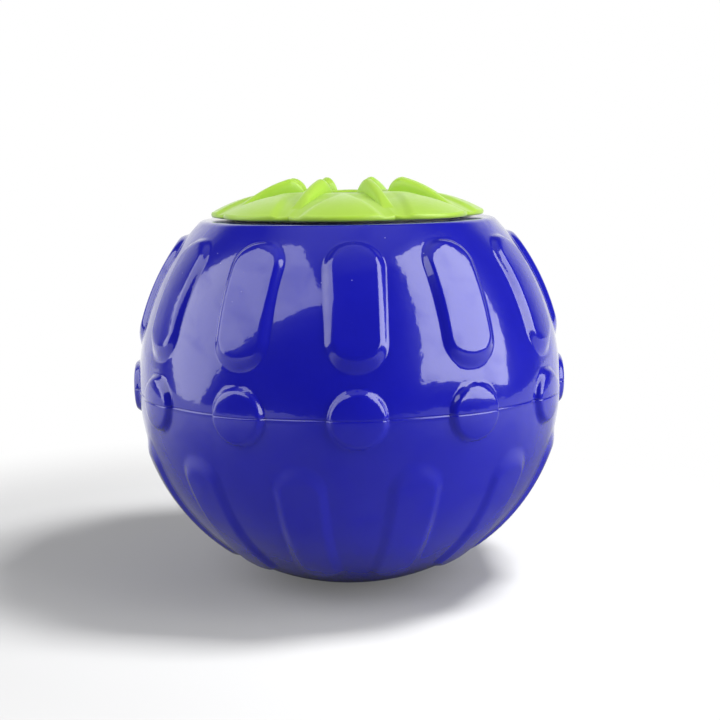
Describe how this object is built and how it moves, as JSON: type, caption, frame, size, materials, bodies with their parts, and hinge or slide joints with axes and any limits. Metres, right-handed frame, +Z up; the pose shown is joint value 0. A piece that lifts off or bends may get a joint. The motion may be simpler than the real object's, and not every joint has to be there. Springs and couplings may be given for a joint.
{
  "type": "treat dispenser dog toy",
  "caption": "Hollow ball with raised pads and a twist-off flower lid, which lets treats fall out through a central outlet as a dog rolls it.",
  "frame": {"origin": "centre of the flat foot, on the surface that the ball stands on", "axes": "+Z up along the ball's axis, through the outlet; one button of the equator faces -Y, to the front"},
  "size_m": [0.1042, 0.1042, 0.0959],
  "materials": {
    "ball_vinyl": "glossy soft vinyl, moulded",
    "neck_plastic": "moulded polypropylene",
    "gasket_rubber": "moulded silicone",
    "core_plastic": "moulded polypropylene",
    "flower_rubber": "satin soft moulded rubber",
    "gate_rubber": "satin soft moulded rubber"
  },
  "bodies": {
    "ball": {"upper_shell": "ball_vinyl", "lower_shell": "ball_vinyl", "neck_ring": "neck_plastic"},
    "seal": {"lid_gasket": "gasket_rubber"},
    "lid": {"lid_core": "core_plastic", "flower_cover": "flower_rubber", "treat_gate": "gate_rubber", "gate_ring": "core_plastic"}
  },
  "joints": [
    {"name": "lid_lift", "type": "slide", "parent": "ball", "child": "seal", "axis": [0, 0, 1], "range_m": [0, 0.04]},
    {"name": "lid_twist", "type": "hinge", "parent": "seal", "child": "lid", "pos_m": [0, 0, 0.0865], "axis": [0, 0, 1], "range_deg": [-40, 0]}
  ]
}
